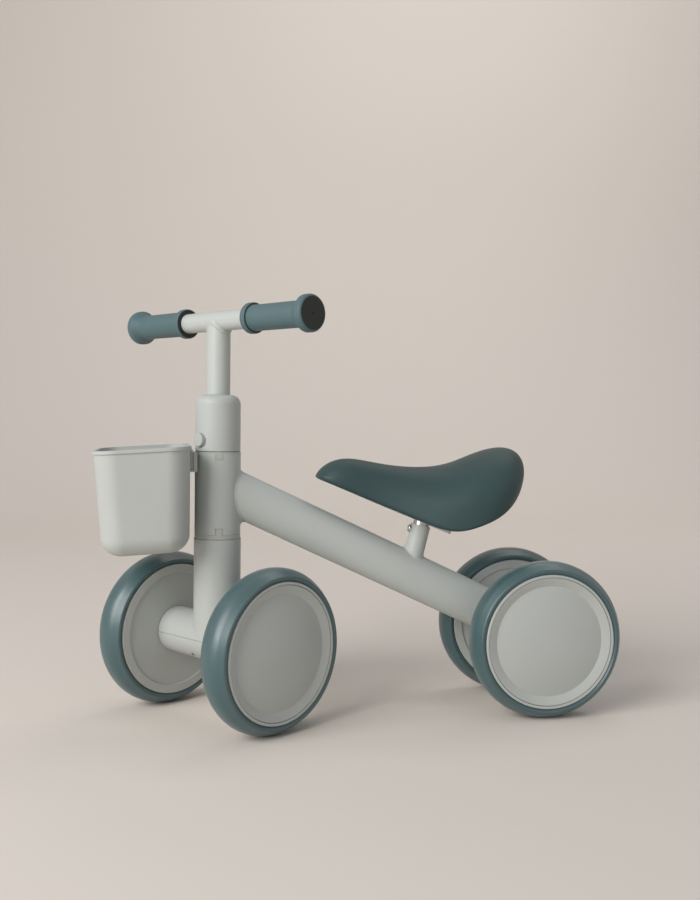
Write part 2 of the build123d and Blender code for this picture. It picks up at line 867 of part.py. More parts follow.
head_spot = head_axis + up * main_head_height
weld(
    "head_weld",
    (
        rear_axle,
        main_direction,
        main_radius,
        main_length - 3 * head_radius,
        main_length - head_radius / 3,
        main_flat,
    ),
    (head_spot, up, head_radius, 0),
    weld_leg,
)
weld(
    "rear_weld",
    (
        rear_axle,
        main_direction,
        main_radius,
        rear_tube_radius / 3,
        3 * rear_tube_radius,
        main_flat,
    ),
    (rear_axle, left, rear_tube_radius, 0),
    weld_leg,
)
weld(
    "seat_weld",
    (seat_foot, seat_axis, seat_tube_radius, seat_tube_foot, seat_tube_top, 0),
    (seat_foot, main_direction, main_radius, main_flat),
    small_weld_leg,
)

# Seat post with its key, plate and snap button
post_blank = pipe(
    seat_foot,
    seat_axis,
    post_radius,
    post_radius - post_wall,
    post_foot,
    seat_tube_top + post_rise + seat_tube_radius,
)
with BuildPart() as seat_post:
    add(post_blank.part)
    with BuildSketch(slot_plane):
        with Locations((-(post_radius + seat_tube_radius - post_wall) / 2, 0)):
            Rectangle(seat_tube_radius - post_radius + post_wall / 2, seat_slot_width - 4 * fit_gap)
    extrude(amount=-(seat_slot_depth - slide_gap))
    with BuildSketch(snap_plane):
        Circle(snap_radius + slide_gap)
    extrude(amount=2 * seat_tube_radius, mode=Mode.SUBTRACT)
    split(bisect_by=seat_base, keep=Keep.BOTTOM)
write(seat_post, "seat_post")

seat_screw_spots = GridLocations(seat_screw_spread, seat_screw_spacing, 2, 2)
plate_plane = Plane(
    origin=post_top + base_forward * plate_ahead, x_dir=base_forward, z_dir=base_normal
)
with BuildPart() as seat_plate:
    with BuildSketch(plate_plane):
        RectangleRounded(plate_length, plate_width, plate_round)
        with seat_screw_spots:
            Circle(screw_radius + fit_gap, mode=Mode.SUBTRACT)
    extrude(amount=plate_thickness)
    with BuildSketch(plate_plane):
        with seat_screw_spots:
            Circle(screw_head_radius + fit_gap)
    extrude(amount=screw_head_height + fit_gap, mode=Mode.SUBTRACT)
write(seat_plate, "seat_plate")

with BuildPart() as seat_screws:
    with BuildSketch(plate_plane):
        with seat_screw_spots:
            Circle(screw_head_radius)
    extrude(amount=screw_head_height)
    with BuildSketch(plate_plane):
        with seat_screw_spots:
            Circle(screw_radius)
    extrude(amount=seat_screw_reach)
write(seat_screws, "seat_screws")

seat_button = turned(
    [section_plane(snap_plane.origin, seat_front, left)],
    [
        (0, snap_flange_base, 0),
        (snap_flange_radius, snap_flange_base, 0),
        (snap_flange_radius, snap_flange_base + snap_flange, 0),
        (snap_radius, snap_flange_base + snap_flange, 0),
        (snap_radius, seat_tube_radius + snap_proud, snap_edge_round),
        (0, seat_tube_radius + snap_proud, 0),
    ],
)
write(seat_button, "seat_button")

snap_pad = snap_flange_base - fit_gap - leaf_half
snap_far = post_radius - post_wall - snap_leaf_set_back
snap_bend = (snap_pad - snap_far) / 2
seat_button_spring = leaf_spring(
    Plane(origin=snap_plane.origin, x_dir=seat_front, z_dir=-left),
    [
        (snap_pad, snap_leaf_pad),
        (snap_pad, -snap_leaf_pad),
        (snap_bend, -snap_leaf_drop),
        (-snap_far, -snap_leaf_pad),
        (-snap_far, snap_leaf_pad),
    ],
    snap_leaf_width,
)
write(seat_button_spring, "seat_button_spring")

# Saddle: arched sections square to its base, from the nose to the raised tail
with BuildPart() as saddle:
    for back, half_width, underside, crown_height in saddle_stations:
        spot = post_top + base_forward * (saddle_nose - back)
        shoulder = saddle_shoulder * half_width
        drop = min(saddle_crown * half_width, 0.6 * (crown_height - underside))
        with BuildSketch(Plane(origin=spot, x_dir=left, z_dir=base_forward)):
            with BuildLine():
                crown = ThreePointArc(
                    (-shoulder, crown_height - drop), (0, crown_height), (shoulder, crown_height - drop)
                )
                right_foot = (saddle_skirt * half_width, underside)
                left_foot = (-saddle_skirt * half_width, underside)
                TangentArc(crown @ 1, right_foot, tangent=crown % 1)
                Line(right_foot, left_foot)
                TangentArc(crown @ 0, left_foot, tangent=(crown % 0) * -1)
            make_face()
    loft()
    with BuildSketch(plate_plane.offset(-screw_head_height)):
        RectangleRounded(
            plate_length + 2 * slide_gap, plate_width + 2 * slide_gap, plate_round + slide_gap
        )
    extrude(amount=screw_head_height + plate_thickness + fit_gap, mode=Mode.SUBTRACT)
    with BuildSketch(plate_plane):
        with seat_screw_spots:
            Circle(screw_radius + fit_gap)
    extrude(amount=seat_screw_reach + fit_gap, mode=Mode.SUBTRACT)
write(saddle, "saddle")

# Hanger on the head tube: a pad with two upright legs that the basket's hook drops behind
hanger_screw = [
    (0, screw_tip, 0),
    (screw_radius, screw_tip, 0),
    (screw_radius, head_radius + fit_gap, 0),
    (screw_head_radius, hanger_screw_face, 0),
    (0, hanger_screw_face, 0),
]
hanger_screws = turned(screw_planes, hanger_screw)
write(hanger_screws, "hanger_screws")

screw_cut = turned(
    screw_planes,
    [
        (0, screw_tip, 0),
        (screw_radius + 2 * fit_gap, screw_tip, 0),
        (screw_radius + 2 * fit_gap, head_radius, 0),
        (screw_head_radius + 2 * fit_gap, hanger_screw_face, 0),
        (0, hanger_screw_face, 0),
    ],
)
leg_width = hanger_half_width - hanger_leg_inner
leg_middle = (hanger_half_width + hanger_leg_inner) / 2
low_corner = (Align.MIN, Align.CENTER, Align.MIN)
with BuildPart() as basket_hanger:
    with Locations((steer_x + hanger_seat, 0, hanger_base_height)):
        Box(
            head_radius + hanger_pad - hanger_seat,
            2 * hanger_half_width,
            hanger_height,
            align=low_corner,
        )
    add(head_cut.part, mode=Mode.SUBTRACT)
    for side in (1, -1):
        with Locations((hanger_face, side * leg_middle, hanger_base_height)):
            Box(leg_back + hanger_leg - hanger_face, leg_width, hanger_floor, align=low_corner)
        with Locations((leg_back, side * leg_middle, hanger_base_height)):
            Box(hanger_leg, leg_width, hanger_height, align=low_corner)
    add(screw_cut.part, mode=Mode.SUBTRACT)
write(basket_hanger, "basket_hanger")

# Basket hook: two prongs, each on a finger that goes through the basket to an inner plate
hook_middle = (hook_inner + hook_outer) / 2
hook_width = hook_outer - hook_inner
hook_plate_back = basket_back + basket_wall + fit_gap
finger_top = finger_base + hook_finger
prong_base = hanger_base_height + hanger_floor + slide_gap
rivet_height = finger_top - rivet_below_finger
rivet_spots = [
    Vector(basket_back, side * rivet_spread / 2, rivet_height) for side in (1, -1)
]
with BuildPart() as basket_hook:
    for side in (1, -1):
        with Locations((hook_back, side * hook_middle, prong_base)):
            Box(hook_thickness, hook_width, finger_top - prong_base, align=low_corner)
        with Locations((hook_back, side * hook_middle, finger_base)):
            Box(hook_plate_back - hook_back, hook_width, hook_finger, align=low_corner)
    with Locations((hook_plate_back, 0, finger_top - hook_plate_drop)):
        Box(hook_thickness, 2 * hook_outer, hook_plate_drop, align=low_corner)
    for spot in rivet_spots:
        with BuildSketch(cross_plane(spot, forward)):
            Circle(rivet_radius + fit_gap)
        extrude(amount=basket_depth / 4, mode=Mode.SUBTRACT)
write(basket_hook, "basket_hook")

rivet_far = basket_wall + fit_gap + hook_thickness
basket_rivets = turned(
    [section_plane(spot, forward) for spot in rivet_spots],
    [
        (0, -rivet_head, 0),
        (rivet_head_radius, -rivet_head, 0.3),
        (rivet_head_radius, 0, 0),
        (rivet_radius, 0, 0),
        (rivet_radius, rivet_far, 0),
        (rivet_head_radius, rivet_far, 0),
        (rivet_head_radius, rivet_far + rivet_head, 0.3),
        (0, rivet_far + rivet_head, 0),
    ],
)
write(basket_rivets, "basket_rivets")


# Basket: a tapered tub, tilted so that its back wall stands upright
def basket_size(below_rim, spread):
    back_inset = below_rim * math.tan(tilt) - spread
    front_inset = below_rim * math.tan(front_taper) - spread
    return (
        basket_depth - back_inset - front_inset,
        basket_width - 2 * back_inset,
        basket_corner + spread,
    )


def basket_level(below_rim):
    plane = basket_plane.offset(-below_rim)
    shift = below_rim * (math.tan(tilt) - math.tan(front_taper)) / 2
    middle = plane.origin + plane.x_dir * (basket_depth / 2 + shift)
    return Plane(origin=middle, x_dir=plane.x_dir, z_dir=plane.z_dir)


with BuildPart() as basket_inside:
    for below_rim in (-basket_lip_height, basket_height - basket_wall):
        with BuildSketch(basket_level(below_rim)):
            RectangleRounded(*basket_size(below_rim, -basket_wall))
    loft(ruled=True)
    fillet(
        basket_inside.faces().sort_by(Axis.Z)[0].edges(), basket_floor_round - basket_wall
    )

with BuildPart() as basket:
    for below_rim in (0, basket_height):
        with BuildSketch(basket_level(below_rim)):
            RectangleRounded(*basket_size(below_rim, 0))
    loft(ruled=True)
    fillet(basket.faces().sort_by(Axis.Z)[0].edges(), basket_floor_round)
    with BuildSketch(basket_level(0)):
        RectangleRounded(*basket_size(0, basket_lip))
    extrude(amount=-basket_lip_height)
    add(basket_inside.part, mode=Mode.SUBTRACT)
    fillet(basket.faces().sort_by(Axis.Z)[-1].edges(), basket_lip_round)
    for side in (1, -1):
        finger_spot = (basket_back + basket_wall / 2, side * hook_middle, finger_base + hook_finger / 2)
        with Locations(finger_spot):
            Box(
                3 * basket_wall,
                hook_width + 2 * fit_gap,
                hook_finger + 2 * fit_gap,
                mode=Mode.SUBTRACT,
            )
    for spot in rivet_spots:
        with BuildSketch(cross_plane(spot - forward, forward)):
            Circle(rivet_radius + fit_gap)
        extrude(amount=2 * basket_wall, mode=Mode.SUBTRACT)
write(basket, "basket")
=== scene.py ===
import json
import math

import bpy
import numpy as np
from mathutils import Matrix, Vector


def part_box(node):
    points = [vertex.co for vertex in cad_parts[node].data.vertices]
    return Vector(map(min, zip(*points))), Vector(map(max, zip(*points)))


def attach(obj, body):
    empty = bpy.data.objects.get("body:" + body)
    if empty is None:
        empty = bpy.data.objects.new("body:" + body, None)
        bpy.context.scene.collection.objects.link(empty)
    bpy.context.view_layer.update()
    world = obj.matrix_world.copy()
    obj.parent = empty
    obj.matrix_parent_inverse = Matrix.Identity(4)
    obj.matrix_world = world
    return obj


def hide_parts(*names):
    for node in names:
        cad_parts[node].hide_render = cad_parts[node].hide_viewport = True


# Toddler balance bike on four wheels with a front basket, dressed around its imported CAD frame.
mm = 0.001
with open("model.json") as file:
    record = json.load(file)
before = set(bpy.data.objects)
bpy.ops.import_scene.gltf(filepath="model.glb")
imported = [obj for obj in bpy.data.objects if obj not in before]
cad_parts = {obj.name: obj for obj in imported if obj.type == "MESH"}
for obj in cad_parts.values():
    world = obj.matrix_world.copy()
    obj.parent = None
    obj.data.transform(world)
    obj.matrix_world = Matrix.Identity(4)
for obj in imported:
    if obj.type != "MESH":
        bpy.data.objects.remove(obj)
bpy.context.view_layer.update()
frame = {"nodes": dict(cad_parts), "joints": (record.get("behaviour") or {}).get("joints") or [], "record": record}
cad = frame["nodes"]
joints = {joint["name"]: joint for joint in frame["joints"]}
slotOf = {part["node"]: part["material_slot"] for part in frame["record"]["subparts"]}
print("frame:", len(cad), "nodes loaded")


def linear(hexColour):
    # sRGB hex to linear light, channel by channel.
    srgb = np.array([int(hexColour[i : i + 2], 16) for i in (0, 2, 4)]) / 255
    light = np.where(srgb <= 0.04045, srgb / 12.92, ((srgb + 0.055) / 1.055) ** 2.4)
    return (*light.tolist(), 1.0)


def perMetre(size):
    # Texture scale that draws one feature of the pattern in that many millimetres.
    return 1 / (size * mm)


def addNode(tree, kind, settings=None, links=None):
    # One node: settings fill its inputs or properties, links join sockets to its inputs.
    node = tree.nodes.new("ShaderNode" + kind)
    for name, value in (settings or {}).items():
        if isinstance(name, int) or name in node.inputs.keys():
            node.inputs[name].default_value = value
        else:
            setattr(node, name, value)
    for name, socket in (links or {}).items():
        tree.links.new(socket, node.inputs[name])
    return node


def newMaterial(name, settings):
    # A material with its shader joined, ready for patterns on Object coordinates.
    material = bpy.data.materials.new(name)
    material.use_nodes = True
    tree = material.node_tree
    tree.nodes.clear()
    shader = addNode(tree, "BsdfPrincipled", settings)
    addNode(tree, "OutputMaterial", links={"Surface": shader.outputs["BSDF"]})
    place = addNode(tree, "TexCoord").outputs["Object"]
    return material, tree, shader, place


# Powder coat on steel tube: satin, with the soft orange peel of melted powder in its shine.
powderCoat = dict(colour="bfc3be", shade="b8bcb7", peel=1.8, cloud=70)
powderCoatedSteel, tree, shader, place = newMaterial(
    "powderCoatedSteel", {"Roughness": 0.42, "IOR": 1.5, "Specular IOR Level": 0.45}
)
cloud = addNode(
    tree, "TexNoise", {"Scale": perMetre(powderCoat["cloud"]), "Detail": 3.0}, {"Vector": place}
)
tone = addNode(
    tree,
    "Mix",
    {"data_type": "RGBA", 6: linear(powderCoat["colour"]), 7: linear(powderCoat["shade"])},
    {0: cloud.outputs["Fac"]},
)
peel = addNode(
    tree, "TexNoise", {"Scale": perMetre(powderCoat["peel"]), "Detail": 2.0}, {"Vector": place}
)
relief = addNode(
    tree, "Bump", {"Strength": 0.25, "Distance": 0.02 * mm}, {"Height": peel.outputs["Fac"]}
)
tree.links.new(tone.outputs[2], shader.inputs["Base Color"])
tree.links.new(relief.outputs["Normal"], shader.inputs["Normal"])

# Polypropylene from an etched mould: flatter than the paint, with a fine even grain.
mouldedPlastic = dict(colour="bdc0bb", shade="b5b8b3", grain=0.9, cloud=45)
mouldedPolypropylene, tree, shader, place = newMaterial(
    "mouldedPolypropylene", {"Roughness": 0.5, "IOR": 1.49, "Specular IOR Level": 0.42}
)
cloud = addNode(
    tree, "TexNoise", {"Scale": perMetre(mouldedPlastic["cloud"]), "Detail": 3.0}, {"Vector": place}
)
tone = addNode(
    tree,
    "Mix",
    {"data_type": "RGBA", 6: linear(mouldedPlastic["colour"]), 7: linear(mouldedPlastic["shade"])},
    {0: cloud.outputs["Fac"]},
)
grain = addNode(
    tree, "TexNoise", {"Scale": perMetre(mouldedPlastic["grain"]), "Detail": 2.0}, {"Vector": place}
)
relief = addNode(
    tree, "Bump", {"Strength": 0.3, "Distance": 0.015 * mm}, {"Height": grain.outputs["Fac"]}
)
tree.links.new(tone.outputs[2], shader.inputs["Base Color"])
tree.links.new(relief.outputs["Normal"], shader.inputs["Normal"])

# EVA foam with a moulded skin: a broad soft shine on the shoulders, and pale dust that clings.
# Dust grains of 0.4 mm are drawn at 1.6 mm, as coarse as the render needs.
foamTyre = dict(colour="3f5b5e", dust="9fb0ae", speck=1.6, cloud=22)
mouldedEvaFoam, tree, shader, place = newMaterial(
    "mouldedEvaFoam", {"IOR": 1.5, "Specular IOR Level": 0.8, "Sheen Weight": 0.12}
)
shader.inputs["Sheen Roughness"].default_value = 0.5
speck = addNode(
    tree,
    "TexNoise",
    {"Scale": perMetre(foamTyre["speck"]), "Detail": 3.0, "Roughness": 0.6},
    {"Vector": place},
)
film = addNode(
    tree, "TexNoise", {"Scale": perMetre(foamTyre["cloud"]), "Detail": 4.0}, {"Vector": place}
)
dusty = addNode(
    tree,
    "MapRange",
    {"From Min": 0.66, "From Max": 0.78, "To Min": 0.0, "To Max": 0.55},
    {"Value": speck.outputs["Fac"]},
)
where = addNode(
    tree,
    "MapRange",
    {"From Min": 0.45, "From Max": 0.7, "To Min": 0.05, "To Max": 1.0},
    {"Value": film.outputs["Fac"]},
)
amount = addNode(
    tree, "Math", {"operation": "MULTIPLY"}, {0: dusty.outputs["Result"], 1: where.outputs["Result"]}
)
tone = addNode(
    tree,
    "Mix",
    {"data_type": "RGBA", 6: linear(foamTyre["colour"]), 7: linear(foamTyre["dust"])},
    {0: amount.outputs["Value"]},
)
gloss = addNode(
    tree,
    "MapRange",
    {"From Min": 0.3, "From Max": 0.7, "To Min": 0.32, "To Max": 0.44},
    {"Value": film.outputs["Fac"]},
)
relief = addNode(
    tree, "Bump", {"Strength": 0.2, "Distance": 0.03 * mm}, {"Height": speck.outputs["Fac"]}
)
tree.links.new(tone.outputs[2], shader.inputs["Base Color"])
tree.links.new(gloss.outputs["Result"], shader.inputs["Roughness"])
tree.links.new(relief.outputs["Normal"], shader.inputs["Normal"])

# Thermoplastic rubber on the grips: greyer than the tyres, dry and even, with a fine mould grain; the end faces
# carry painted shade.
rubberGrip = dict(colour="566e71", shade="4e6669", ends="252c2b", grain=1.1, cloud=18)
mouldedRubber, tree, shader, place = newMaterial(
    "mouldedRubber", {"Roughness": 0.56, "IOR": 1.5, "Specular IOR Level": 0.4}
)
cloud = addNode(
    tree, "TexNoise", {"Scale": perMetre(rubberGrip["cloud"]), "Detail": 4.0}, {"Vector": place}
)
tone = addNode(
    tree,
    "Mix",
    {"data_type": "RGBA", 6: linear(rubberGrip["colour"]), 7: linear(rubberGrip["shade"])},
    {0: cloud.outputs["Fac"]},
)
# The end faces are drawn darker than the rest as painted shade, found by how far a face looks along the bar.
facing = tree.nodes["Texture Coordinate"].outputs["Normal"]
barAlong = joints["front_left_spin"]["axis"]
endOn = addNode(tree, "VectorMath", {"operation": "DOT_PRODUCT", 1: barAlong}, {0: facing})
endSize = addNode(tree, "Math", {"operation": "ABSOLUTE"}, {0: endOn.outputs["Value"]})
endShadeMask = addNode(
    tree, "MapRange", {"From Min": 0.86, "From Max": 0.97}, {"Value": endSize.outputs["Value"]}
)
# Painted shade: the dark end colour is mixed over the faces that look along the bar.
tone = addNode(
    tree,
    "Mix",
    {"data_type": "RGBA", 7: linear(rubberGrip["ends"])},
    {0: endShadeMask.outputs["Result"], 6: tone.outputs[2]},
)
grain = addNode(
    tree, "TexNoise", {"Scale": perMetre(rubberGrip["grain"]), "Detail": 3.0}, {"Vector": place}
)
relief = addNode(
    tree, "Bump", {"Strength": 0.35, "Distance": 0.03 * mm}, {"Height": grain.outputs["Fac"]}
)
tree.links.new(tone.outputs[2], shader.inputs["Base Color"])
tree.links.new(relief.outputs["Normal"], shader.inputs["Normal"])

# Self-skinned polyurethane foam: a firm dark skin with a fine leather grain that breaks its shine.
# The grain's cells of 0.5 mm are drawn at 1.3 mm, as coarse as the render needs.
foamSkin = dict(colour="33494a", shade="2e4445", cell=1.3, cloud=30)
selfSkinnedFoam, tree, shader, place = newMaterial(
    "selfSkinnedFoam", {"Roughness": 0.5, "IOR": 1.48, "Specular IOR Level": 0.42}
)
cloud = addNode(
    tree, "TexNoise", {"Scale": perMetre(foamSkin["cloud"]), "Detail": 4.0}, {"Vector": place}
)
tone = addNode(
    tree,
    "Mix",
    {"data_type": "RGBA", 6: linear(foamSkin["colour"]), 7: linear(foamSkin["shade"])},
    {0: cloud.outputs["Fac"]},
)
cell = addNode(
    tree,
    "TexVoronoi",
    {"Scale": perMetre(foamSkin["cell"]), "feature": "SMOOTH_F1", "Smoothness": 0.6},
    {"Vector": place},
)
relief = addNode(
    tree,
    "Bump",
    {"Strength": 0.22, "Distance": 0.05 * mm, "invert": True},
    {"Height": cell.outputs["Distance"]},
)
tree.links.new(tone.outputs[2], shader.inputs["Base Color"])
tree.links.new(relief.outputs["Normal"], shader.inputs["Normal"])

# Acetal for the bushes: pale, smooth and slightly waxy.
mouldedAcetal = newMaterial(
    "mouldedAcetal", {"Base Color": linear("b6b7b0"), "Roughness": 0.4, "IOR": 1.48}
)[0]

# Natural nylon: milky off-white.
naturalNylon = newMaterial(
    "naturalNylon", {"Base Color": linear("d2d1c8"), "Roughness": 0.45, "IOR": 1.53}
)[0]

# Bright zinc plate on steel: a cool metal shine, dulled by the fine grain of the plating.
zincPlate = dict(colour="c9cac8", grain=0.7)
zincPlatedSteel, tree, shader, place = newMaterial(
    "zincPlatedSteel", {"Base Color": linear(zincPlate["colour"]), "Metallic": 1.0}
)
grain = addNode(
    tree, "TexNoise", {"Scale": perMetre(zincPlate["grain"]), "Detail": 3.0}, {"Vector": place}
)
gloss = addNode(
    tree,
    "MapRange",
    {"From Min": 0.3, "From Max": 0.7, "To Min": 0.24, "To Max": 0.36},
    {"Value": grain.outputs["Fac"]},
)
tree.links.new(gloss.outputs["Result"], shader.inputs["Roughness"])

finishOf = {
    "frame_paint": powderCoatedSteel,
    "body_plastic": mouldedPolypropylene,
    "tyre_foam": mouldedEvaFoam,
    "grip_rubber": mouldedRubber,
    "saddle_skin": selfSkinnedFoam,
    "bush_plastic": mouldedAcetal,
    "nylon": naturalNylon,
    "zinc_steel": zincPlatedSteel,
}
for name, node in cad.items():
    for materialSlot in node.material_slots:
        materialSlot.material = finishOf[slotOf[name]]
print("finishes:", len(finishOf), "materials on the CAD nodes")


def closedSurface(name, grid, slot, body, poles=False, loop=False, sharp=40):
    # Quads over the grid, whose columns close on themselves. Rows close with loop, or end in
    # poles at the mean of the end rows. Faces turn outwards by the sign of the enclosed volume.
    rows, columns = grid.shape[:2]
    index = np.arange(rows * columns).reshape(rows, columns)
    index = np.concatenate([index, index[:, :1]], axis=1)
    if loop:
        index = np.concatenate([index, index[:1]], axis=0)
    points = grid.reshape(-1, 3)
    near, far = index[:-1], index[1:]
    quads = np.stack([near[:, :-1], near[:, 1:], far[:, 1:], far[:, :-1]], -1).reshape(-1, 4)
    triangles = np.concatenate([quads[:, [0, 1, 2]], quads[:, [0, 2, 3]]])
    caps = np.zeros((0, 3), int)
    if poles:
        points = np.concatenate([points, grid[:1].mean(1), grid[-1:].mean(1)])
        first, last = rows * columns, rows * columns + 1
        startCap = np.stack([np.full(columns, first), index[0, 1:], index[0, :-1]], -1)
        endCap = np.stack([np.full(columns, last), index[-1, :-1], index[-1, 1:]], -1)
        caps = np.concatenate([startCap, endCap])
        triangles = np.concatenate([triangles, caps])
    corner = points[triangles]
    volume = np.einsum("ij,ij->", corner[:, 0], np.cross(corner[:, 1], corner[:, 2]))
    if volume < 0:
        quads, caps = quads[:, ::-1], caps[:, ::-1]
    mesh = bpy.data.meshes.new(name)
    mesh.from_pydata(points.tolist(), [], quads.tolist() + caps.tolist())
    mesh.polygons.foreach_set("use_smooth", np.ones(len(mesh.polygons), bool))
    mesh.set_sharp_from_angle(angle=math.radians(sharp))
    mesh.materials.append(finishOf[slot])
    piece = bpy.data.objects.new(name, mesh)
    bpy.context.scene.collection.objects.link(piece)
    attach(piece, body)
    return piece


def unit(vectors):
    return vectors / np.linalg.norm(vectors, axis=-1, keepdims=True)


# Lines of the frame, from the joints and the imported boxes.
up = np.array([0.0, 0.0, 1.0])
steerAxis = np.array(joints["steering_turn"]["pos_m"])
steerLeft = np.array(joints["front_left_spin"]["axis"])
leftWheel, rightWheel = (np.array(joints[f"front_{s}_spin"]["pos_m"]) for s in ("left", "right"))
frontAxle = (leftWheel + rightWheel) / 2
leftWheel, rightWheel = (np.array(joints[f"rear_{s}_spin"]["pos_m"]) for s in ("left", "right"))
rearAxle = (leftWheel + rightWheel) / 2
rearLeft = np.array(joints["rear_left_spin"]["axis"])
frameLines = dict(
    mainHeadHeight=205.8, mainTall=19.75, mainWide=14.45, seatStation=114.3, seatLean=13.8, seatTop=48.5
)
mainTop = steerAxis * [1, 1, 0] + up * frameLines["mainHeadHeight"] * mm
mainAlong = unit(mainTop - rearAxle)
seatFoot = rearAxle + mainAlong * frameLines["seatStation"] * mm / mainAlong[0]
lean = math.radians(frameLines["seatLean"])
seatAlong = np.array([-math.sin(lean), 0, math.cos(lean)])
postTop = seatFoot + seatAlong * frameLines["seatTop"] * mm
barLow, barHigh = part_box("handlebar_bar")
barMiddle = np.array((barLow + barHigh) / 2)

# Beads where tube meets tube: half widths of tube and carrier, and the ball that rolls between.
# The main tube is oval, narrower across the bike than it is tall.
beads = dict(around=360, across=10, lift=0.35, ripple=0.1, rippleLength=2.6, inside=1.0)
mainTall, mainWide = frameLines["mainTall"], frameLines["mainWide"]
beadSpots = [
    ("head_weld", mainTop, -mainAlong, (mainWide, mainTall), mainTop, up, (20.1, 20.1), 3.0),
    ("rear_weld", rearAxle, mainAlong, (mainTall, mainWide), rearAxle, rearLeft, (20.0, 20.0), 4.0),
    ("seat_weld", seatFoot, seatAlong, (9.0, 9.0), seatFoot, mainAlong, (mainTall, mainWide), 2.8),
]


def rolledCorner(root, along, tubeHalf, carrier, carrierAlong, carrierHalf, ball, ridge):
    # A ball rolls in the corner between two crossed tubes: its centre keeps one radius off the
    # tube along the ellipse's normal, and lies on the carrier's ellipse grown by that radius.
    # From the touch on the tube to the touch on the carrier the surface follows the ball, raised
    # a little by ridge, and it closes through a line sunk below both skins.
    around = np.linspace(0, 2 * np.pi, beads["around"], endpoint=False)[:, None]
    side = unit(np.cross(along, carrierAlong))
    front = np.cross(side, along)
    sideHalf, frontHalf = np.array(tubeHalf) * mm
    tall, wide = np.array(carrierHalf) * mm
    ball = ball * mm
    radial = unit(np.cos(around) * frontHalf * side + np.sin(around) * sideHalf * front)
    start = root + np.cos(around) * sideHalf * side + np.sin(around) * frontHalf * front + radial * ball
    shrink = 1 / (np.array([tall, wide, tall]) + ball)
    offset = start - carrier
    offset = (offset - (offset @ carrierAlong)[:, None] * carrierAlong) * shrink
    slope = (along - (along @ carrierAlong) * carrierAlong) * shrink
    a, b = slope @ slope, 2 * offset @ slope
    c = (offset * offset).sum(1) - 1
    run = (-b + np.sqrt(np.maximum(b * b - 4 * a * c, 0))) / (2 * a)
    middle = start + run[:, None] * along
    fromCarrier = middle - carrier
    fromCarrier = fromCarrier - (fromCarrier @ carrierAlong)[:, None] * carrierAlong
    fromCarrier = unit(fromCarrier * shrink**2)
    across = np.linspace(0, 1, beads["across"])[None, :, None]
    turn = np.arccos(np.clip((radial * fromCarrier).sum(1), -1, 0.999999))[:, None, None]
    toward = np.sin((1 - across) * turn) * radial[:, None] + np.sin(across * turn) * fromCarrier[:, None]
    toward = -toward / np.sin(turn)
    skin = middle[:, None] + toward * (ball - ridge(around[:, :, None], across) * mm)
    sunk = skin.mean(1) + unit(toward.mean(1)) * beads["inside"] * mm
    return np.concatenate([skin, sunk[:, None]], axis=1)


for name, root, along, tubeHalf, carrier, carrierAlong, carrierHalf, ball in beadSpots:
    count = round(math.pi * sum(tubeHalf) / beads["rippleLength"])

    def ridge(around, across):
        # A lip that rises at once from the tube and sinks slowly to the carrier, with ripples.
        lip = beads["lift"] * np.minimum(across / 0.12, 1) * (1 - across)
        return lip + beads["ripple"] * np.sin(np.pi * across) * np.cos(count * around - 3 * across)

    grid = rolledCorner(root, along, tubeHalf, carrier, carrierAlong, carrierHalf, ball, ridge)
    bead = closedSurface(name + "_bead", grid, slotOf[name], "frame", loop=True, sharp=60)
    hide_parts(name)
print("beads:", len(beadSpots), "welds rolled")

# Fork: the column runs into the axle housing in one soft corner on each side of it.
forkCorner = dict(column=(20.6, 20.6), housing=(20.62, 20.62), ball=7.0)
grid = rolledCorner(
    frontAxle, up, forkCorner["column"], frontAxle, steerLeft, forkCorner["housing"],
    forkCorner["ball"], lambda around, across: 0 * across,
)
closedSurface("fork_corner", grid, "body_plastic", "steering", loop=True, sharp=60)
print("fork: corner rolled")

# Hub caps: a shallow dome in a sloped band, with a rounded edge and a spigot behind.
cap = dict(
    around=144, domeSteps=40, roundSteps=9, poleRadius=0.6,
    bandRadius=49, bandFace=11.1, domeRise=5.7, wall=2.2, radius=56.95, edge=14.5, edgeRound=0.7,
    seat=10.35, spigot=55.55, spigotInside=53.45, spigotEnd=4.35,
)


def hubCapGrid(form, centre, outward):
    # A section of arc, band, rounded edge, spigot and inner arc, turned about the wheel's axle.
    ballRadius = (form["bandRadius"] ** 2 + form["domeRise"] ** 2) / (2 * form["domeRise"])
    domeAt = np.linspace(form["poleRadius"], form["bandRadius"], form["domeSteps"])
    domeTop = form["bandFace"] + form["domeRise"]
    domeHeight = domeTop - ballRadius + np.sqrt(ballRadius**2 - domeAt**2)
    rise = math.atan2(form["edge"] - form["bandFace"], form["radius"] - form["bandRadius"])
    back = form["edgeRound"] * math.tan((rise + math.pi / 2) / 2)
    turn = np.linspace(rise + math.pi / 2, 0, form["roundSteps"])
    roundAt = form["radius"] - form["edgeRound"] + form["edgeRound"] * np.cos(turn)
    roundHeight = form["edge"] - back + form["edgeRound"] * np.sin(turn)
    cornerAt = [form["radius"]] + [form["spigot"]] * 2 + [form["spigotInside"]] * 2
    cornerHeight = [form["seat"]] * 2 + [form["spigotEnd"]] * 2 + [form["bandFace"] - form["wall"]]
    at = np.concatenate([domeAt, roundAt, cornerAt, domeAt[::-1]])
    height = np.concatenate([domeHeight, roundHeight, cornerHeight, domeHeight[::-1] - form["wall"]])
    around = np.linspace(0, 2 * np.pi, form["around"], endpoint=False)[None, :, None]
    level = np.cross(up, outward)
    spoke = np.cos(around) * up + np.sin(around) * level
    return centre + mm * (at[:, None, None] * spoke + height[:, None, None] * outward)


for end, axle in (("front", frontAxle), ("rear", rearAxle)):
    for hand in ("left", "right"):
        centre = np.array(joints[f"{end}_{hand}_spin"]["pos_m"])
        name = f"{end}_{hand}_hub_cap"
        grid = hubCapGrid(cap, centre, unit(centre - axle))
        wheel = f"{end}_{hand}_wheel"
        piece = closedSurface(name + "_shell", grid, slotOf[name], wheel, poles=True, sharp=30)
        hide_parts(name)
print("hub caps: four turned")

